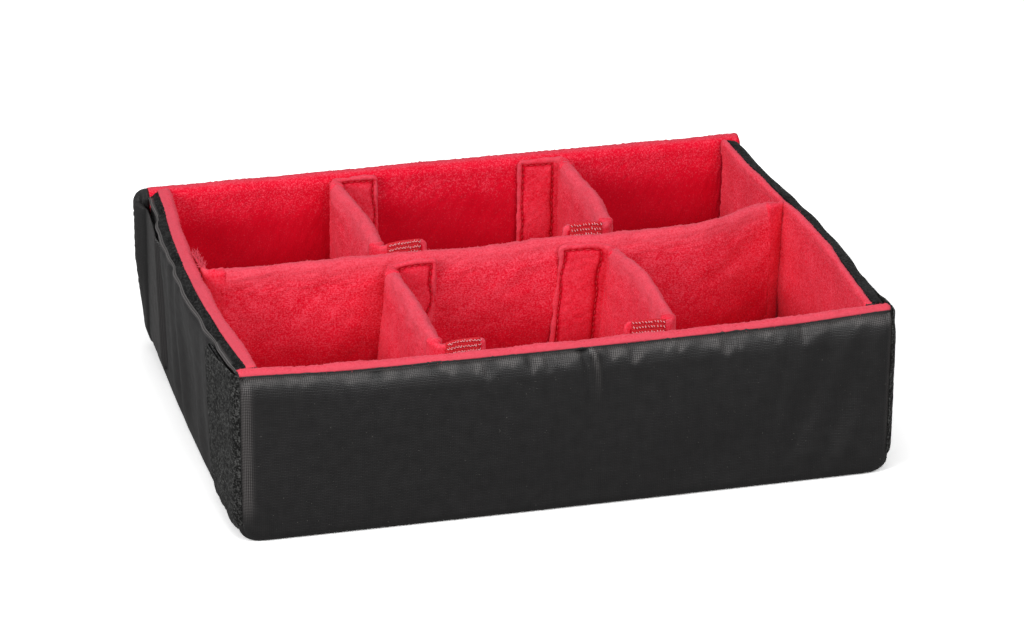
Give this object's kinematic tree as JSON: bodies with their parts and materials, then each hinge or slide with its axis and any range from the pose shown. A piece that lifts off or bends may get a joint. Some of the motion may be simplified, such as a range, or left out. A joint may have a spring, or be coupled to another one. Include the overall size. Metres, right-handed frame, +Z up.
{
  "type": "case divider set",
  "caption": "Padded fold-up insert for a hard case: nylon outside, fleece inside, with lift-out dividers held by hook tape tabs.",
  "frame": {"origin": "on the resting surface under the middle of the insert", "axes": "+X along the long side to the right, +Y to the back wall, +Z up out of the open top"},
  "size_m": [0.386, 0.283, 0.103],
  "materials": {
    "nylon": "black nylon twill, slightly shiny",
    "fleece": "red brushed loop fleece",
    "divider_fleece": "red brushed loop fleece",
    "foam": "closed-cell foam",
    "flap_cloth": "black fuzzy loop cloth",
    "black_hook_tape": "black woven hook tape",
    "black_loop_tape": "black napped loop tape",
    "red_hook_tape": "red woven hook tape"
  },
  "bodies": {
    "base": {"base_foam": "foam", "base_cover": "nylon", "base_lining": "fleece"},
    "front_wall": {"front_wall_foam": "foam", "front_wall_cover": "nylon", "front_wall_lining": "fleece"},
    "back_wall": {"back_wall_foam": "foam", "back_wall_cover": "nylon", "back_wall_lining": "fleece"},
    "left_wall": {"left_wall_foam": "foam", "left_wall_cover": "nylon", "left_wall_lining": "fleece", "front_left_loop_tape": "black_loop_tape", "back_left_loop_tape": "black_loop_tape"},
    "right_wall": {"right_wall_foam": "foam", "right_wall_cover": "nylon", "right_wall_lining": "fleece", "front_right_loop_tape": "black_loop_tape", "back_right_loop_tape": "black_loop_tape"},
    "front_left_flap": {"front_left_flap": "flap_cloth", "front_left_flap_hook_tape": "black_hook_tape"},
    "front_right_flap": {"front_right_flap": "flap_cloth", "front_right_flap_hook_tape": "black_hook_tape"},
    "back_left_flap": {"back_left_flap": "flap_cloth", "back_left_flap_hook_tape": "black_hook_tape"},
    "back_right_flap": {"back_right_flap": "flap_cloth", "back_right_flap_hook_tape": "black_hook_tape"},
    "long_divider": {"long_divider_foam": "foam", "long_divider_cover": "divider_fleece"},
    "long_divider_left_tab": {"long_divider_left_tab": "divider_fleece", "long_divider_left_tab_hook_tape": "red_hook_tape"},
    "long_divider_right_tab": {"long_divider_right_tab": "divider_fleece", "long_divider_right_tab_hook_tape": "red_hook_tape"},
    "front_left_divider": {"front_left_divider_foam": "foam", "front_left_divider_cover": "divider_fleece"},
    "front_left_divider_front_tab": {"front_left_divider_front_tab": "divider_fleece", "front_left_divider_front_tab_hook_tape": "red_hook_tape"},
    "front_left_divider_back_tab": {"front_left_divider_back_tab": "divider_fleece", "front_left_divider_back_tab_hook_tape": "red_hook_tape"},
    "front_right_divider": {"front_right_divider_foam": "foam", "front_right_divider_cover": "divider_fleece"},
    "front_right_divider_front_tab": {"front_right_divider_front_tab": "divider_fleece", "front_right_divider_front_tab_hook_tape": "red_hook_tape"},
    "front_right_divider_back_tab": {"front_right_divider_back_tab": "divider_fleece", "front_right_divider_back_tab_hook_tape": "red_hook_tape"},
    "back_left_divider": {"back_left_divider_foam": "foam", "back_left_divider_cover": "divider_fleece"},
    "back_left_divider_front_tab": {"back_left_divider_front_tab": "divider_fleece", "back_left_divider_front_tab_hook_tape": "red_hook_tape"},
    "back_left_divider_back_tab": {"back_left_divider_back_tab": "divider_fleece", "back_left_divider_back_tab_hook_tape": "red_hook_tape"},
    "back_right_divider": {"back_right_divider_foam": "foam", "back_right_divider_cover": "divider_fleece"},
    "back_right_divider_front_tab": {"back_right_divider_front_tab": "divider_fleece", "back_right_divider_front_tab_hook_tape": "red_hook_tape"},
    "back_right_divider_back_tab": {"back_right_divider_back_tab": "divider_fleece", "back_right_divider_back_tab_hook_tape": "red_hook_tape"}
  },
  "joints": [
    {"name": "front_wall_fold", "type": "hinge", "parent": "base", "child": "front_wall", "pos_m": [0, -0.14, 0.0016], "axis": [1, 0, 0], "range_deg": [0, 90]},
    {"name": "back_wall_fold", "type": "hinge", "parent": "base", "child": "back_wall", "pos_m": [0, 0.14, 0.0016], "axis": [-1, 0, 0], "range_deg": [0, 90]},
    {"name": "left_wall_fold", "type": "hinge", "parent": "base", "child": "left_wall", "pos_m": [-0.1889, 0, 0.0016], "axis": [0, -1, 0], "range_deg": [0, 90], "deforming": ["front_left_flap", "front_left_flap_hook_tape", "back_left_flap", "back_left_flap_hook_tape"]},
    {"name": "right_wall_fold", "type": "hinge", "parent": "base", "child": "right_wall", "pos_m": [0.1889, 0, 0.0016], "axis": [0, 1, 0], "range_deg": [0, 90], "deforming": ["front_right_flap", "front_right_flap_hook_tape", "back_right_flap", "back_right_flap_hook_tape"]},
    {"name": "front_left_flap_peel", "type": "hinge", "parent": "front_wall", "child": "front_left_flap", "pos_m": [-0.1903, -0.134, 0.0515], "axis": [0, 0, 1], "range_deg": [0, 90]},
    {"name": "front_right_flap_peel", "type": "hinge", "parent": "front_wall", "child": "front_right_flap", "pos_m": [0.1903, -0.134, 0.0515], "axis": [0, 0, -1], "range_deg": [0, 90]},
    {"name": "back_left_flap_peel", "type": "hinge", "parent": "back_wall", "child": "back_left_flap", "pos_m": [-0.1903, 0.134, 0.0515], "axis": [0, 0, -1], "range_deg": [0, 90]},
    {"name": "back_right_flap_peel", "type": "hinge", "parent": "back_wall", "child": "back_right_flap", "pos_m": [0.1903, 0.134, 0.0515], "axis": [0, 0, 1], "range_deg": [0, 90]},
    {"name": "long_divider_lift", "type": "slide", "parent": "base", "child": "long_divider", "axis": [0, 0, 1], "range_m": [0, 0.12]},
    {"name": "front_left_divider_lift", "type": "slide", "parent": "base", "child": "front_left_divider", "axis": [0, 0, 1], "range_m": [0, 0.12]},
    {"name": "front_right_divider_lift", "type": "slide", "parent": "base", "child": "front_right_divider", "axis": [0, 0, 1], "range_m": [0, 0.12]},
    {"name": "back_left_divider_lift", "type": "slide", "parent": "base", "child": "back_left_divider", "axis": [0, 0, 1], "range_m": [0, 0.12]},
    {"name": "back_right_divider_lift", "type": "slide", "parent": "base", "child": "back_right_divider", "axis": [0, 0, 1], "range_m": [0, 0.12]},
    {"name": "long_divider_left_tab_peel", "type": "hinge", "parent": "long_divider", "child": "long_divider_left_tab", "pos_m": [-0.1717, 0.0088, 0.05615], "axis": [0, 0, -1], "range_deg": [0, 45]},
    {"name": "long_divider_right_tab_peel", "type": "hinge", "parent": "long_divider", "child": "long_divider_right_tab", "pos_m": [0.1717, 0.0268, 0.05615], "axis": [0, 0, 1], "range_deg": [0, 45]},
    {"name": "front_left_divider_front_tab_peel", "type": "hinge", "parent": "front_left_divider", "child": "front_left_divider_front_tab", "pos_m": [-0.0712, -0.1228, 0.05615], "axis": [0, 0, 1], "range_deg": [0, 45]},
    {"name": "front_left_divider_back_tab_peel", "type": "hinge", "parent": "front_left_divider", "child": "front_left_divider_back_tab", "pos_m": [-0.0762, -0.0022, 0.05615], "axis": [0, 0, -1], "range_deg": [0, 45]},
    {"name": "front_right_divider_front_tab_peel", "type": "hinge", "parent": "front_right_divider", "child": "front_right_divider_front_tab", "pos_m": [0.0612, -0.1228, 0.05615], "axis": [0, 0, -1], "range_deg": [0, 45]},
    {"name": "front_right_divider_back_tab_peel", "type": "hinge", "parent": "front_right_divider", "child": "front_right_divider_back_tab", "pos_m": [0.0542, -0.0022, 0.05615], "axis": [0, 0, 1], "range_deg": [0, 45]},
    {"name": "back_left_divider_front_tab_peel", "type": "hinge", "parent": "back_left_divider", "child": "back_left_divider_front_tab", "pos_m": [-0.0712, 0.0162, 0.05615], "axis": [0, 0, 1], "range_deg": [0, 45]},
    {"name": "back_left_divider_back_tab_peel", "type": "hinge", "parent": "back_left_divider", "child": "back_left_divider_back_tab", "pos_m": [-0.0752, 0.1228, 0.05615], "axis": [0, 0, -1], "range_deg": [0, 45]},
    {"name": "back_right_divider_front_tab_peel", "type": "hinge", "parent": "back_right_divider", "child": "back_right_divider_front_tab", "pos_m": [0.0642, 0.0162, 0.05615], "axis": [0, 0, -1], "range_deg": [0, 45]},
    {"name": "back_right_divider_back_tab_peel", "type": "hinge", "parent": "back_right_divider", "child": "back_right_divider_back_tab", "pos_m": [0.0642, 0.1228, 0.05615], "axis": [0, 0, 1], "range_deg": [0, 45]}
  ]
}
